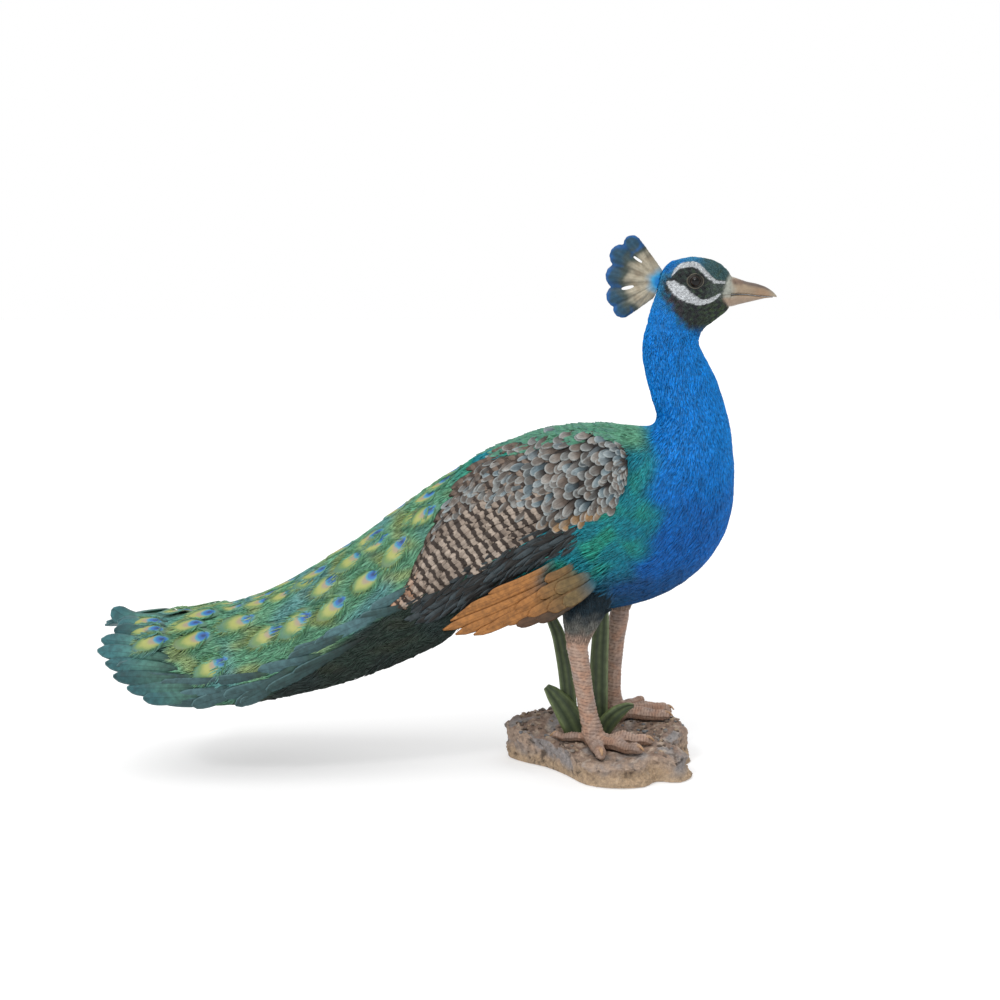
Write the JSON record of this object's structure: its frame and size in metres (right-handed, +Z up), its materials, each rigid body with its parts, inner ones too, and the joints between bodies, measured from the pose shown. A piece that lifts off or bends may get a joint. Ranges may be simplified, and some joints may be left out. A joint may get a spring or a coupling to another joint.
{
  "type": "peacock garden statue",
  "caption": "Painted resin peacock standing on a rock, train folded behind it, head up with a fan crest; an ornament that rests on the ground by its base.",
  "frame": {"origin": "on the flat underside of the rock, below the space between the two feet", "axes": "+X is the way the bird faces, +Y its left side, +Z up; the bird's middle plane is y = 0"},
  "size_m": [0.849, 0.2415, 0.6632],
  "materials": {
    "blue": "satin royal-blue paint over cast hair-like feathering, darker in the grooves",
    "teal": "satin paint that shades from blue through teal to black-green and white face marks",
    "green": "satin green and olive paint over cast barbs, with painted eye-spots",
    "barred": "matt grey-brown paint with dark bars and pale feather rims",
    "dark": "matt black-green paint",
    "orange": "matt orange-tan paint, grooved along the feather",
    "flesh": "matt beige-pink paint with a brown wash in the rings of the skin",
    "bill": "satin horn-coloured paint, darker along the ridge",
    "eye": "glossy dark brown",
    "crest": "satin paint from beige shafts through dark grey to blue tips",
    "rock": "matt brown and grey paint over rough cast rock, ochre at the floor",
    "leaf": "satin dark green paint with light green edges"
  },
  "bodies": {
    "root": {"head": "teal", "neck": "blue", "trunk": "blue", "bill_upper": "bill", "bill_lower": "bill", "eye_right": "eye", "eye_left": "eye", "crest": "crest", "wing_right": "barred", "wing_left": "barred", "secondaries_right": "dark", "secondaries_left": "dark", "primaries_right": "orange", "primaries_left": "orange", "thigh_right": "teal", "thigh_left": "teal", "shank_right": "flesh", "shank_left": "flesh", "foot_right": "flesh", "foot_left": "flesh", "train_root": "green", "train_middle": "green", "train_end": "green", "tail": "dark", "rock": "rock", "leaf_tall_rear": "leaf", "leaf_tall_front": "leaf", "leaf_short_rear": "leaf", "leaf_short_front": "leaf"}
  },
  "joints": []
}
